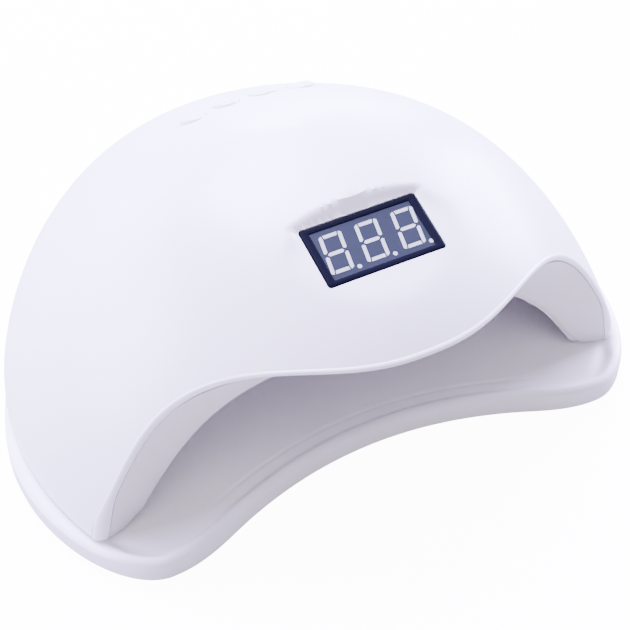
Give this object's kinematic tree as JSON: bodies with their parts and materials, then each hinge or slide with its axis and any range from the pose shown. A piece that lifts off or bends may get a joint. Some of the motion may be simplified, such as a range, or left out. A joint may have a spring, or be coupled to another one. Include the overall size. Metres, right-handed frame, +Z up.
{
  "type": "uv curing lamp",
  "caption": "Domed white desk curing lamp with an arched front opening over a removable tray, a tilted digit display and a row of round push buttons.",
  "frame": {"origin": "bottom centre of the bounding box, on the surface the rubber pads stand on", "axes": "+X to the right when facing the open front, -Y towards the user (the open front), +Z up"},
  "size_m": [0.224, 0.1994, 0.102],
  "materials": {
    "shell_white": "smooth satin-gloss white with a faint cool tint",
    "liner_white": "smooth white, slightly warmer and duller than the shell",
    "tray_white": "smooth satin white",
    "button_white": "polished white",
    "bezel_navy": "very dark navy, semi-gloss",
    "clear_window": "clear polished sheet",
    "display_grey": "blue-grey cast face with pale segments",
    "rubber_grey": "matte",
    "board_green": "green solder mask over glass laminate",
    "led_board_white": "white coated aluminium strip",
    "led_lens": "clear domed lens with a faint violet tint",
    "black_plastic": "moulded",
    "sensor_dark": "dark tinted epoxy",
    "steel": "plated",
    "magnet_nickel": "nickel plate",
    "capacitor_sleeve": "shrink sleeve",
    "cable_black": "soft matte sheath",
    "ribbon_grey": "flat flexible ribbon"
  },
  "bodies": {
    "tray": {"base_tray": "tray_white", "foot_pad_front_left": "rubber_grey", "foot_pad_front_right": "rubber_grey", "foot_pad_rear_left": "rubber_grey", "foot_pad_rear_right": "rubber_grey", "tray_steel_disc_left": "steel", "tray_steel_disc_right": "steel"},
    "key_10s": {"button_10s": "button_white", "tact_plunger_10s": "button_white"},
    "key_30s": {"button_30s": "button_white", "tact_plunger_30s": "button_white"},
    "key_60s": {"button_60s": "button_white", "tact_plunger_60s": "button_white"},
    "key_99s": {"button_99s": "button_white", "tact_plunger_99s": "button_white"},
    "housing": {"button_ribbon": "ribbon_grey", "controller_chip": "black_plastic", "dc_jack": "black_plastic", "dc_jack_pin": "steel", "display_bezel": "bezel_navy", "display_module": "display_grey", "display_window": "clear_window", "housing_magnet_left": "magnet_nickel", "housing_magnet_right": "magnet_nickel", "inner_liner": "liner_white", "ir_emitter": "sensor_dark", "ir_receiver": "sensor_dark", "led_board_left": "led_board_white", "led_board_right": "led_board_white", "led_board_top": "led_board_white", "led_left_1": "led_lens", "led_left_2": "led_lens", "led_left_3": "led_lens", "led_left_4": "led_lens", "led_right_1": "led_lens", "led_right_2": "led_lens", "led_right_3": "led_lens", "led_right_4": "led_lens", "led_top_1": "led_lens", "led_top_2": "led_lens", "led_top_3": "led_lens", "led_top_4": "led_lens", "led_top_5": "led_lens", "led_top_6": "led_lens", "main_board": "board_green", "power_cable": "cable_black", "power_inductor": "black_plastic", "screw_left_1": "steel", "screw_left_2": "steel", "screw_right_1": "steel", "screw_right_2": "steel", "smoothing_capacitor": "capacitor_sleeve", "switch_board": "board_green", "tact_switch_10s": "black_plastic", "tact_switch_30s": "black_plastic", "tact_switch_60s": "black_plastic", "tact_switch_99s": "black_plastic", "top_shell": "shell_white"}
  },
  "joints": [
    {"name": "housing_lift", "type": "slide", "parent": "tray", "child": "housing", "axis": [0, 0, 1], "range_m": [0, 0.12]},
    {"name": "key_10s_press", "type": "slide", "parent": "housing", "child": "key_10s", "axis": [0, -0.4384, -0.8988], "range_m": [0, 0.0005], "stiffness_N_per_m": 40},
    {"name": "key_30s_press", "type": "slide", "parent": "housing", "child": "key_30s", "axis": [0, -0.4384, -0.8988], "range_m": [0, 0.0005], "stiffness_N_per_m": 40},
    {"name": "key_60s_press", "type": "slide", "parent": "housing", "child": "key_60s", "axis": [0, -0.4384, -0.8988], "range_m": [0, 0.0005], "stiffness_N_per_m": 40},
    {"name": "key_99s_press", "type": "slide", "parent": "housing", "child": "key_99s", "axis": [0, -0.4384, -0.8988], "range_m": [0, 0.0005], "stiffness_N_per_m": 40}
  ]
}
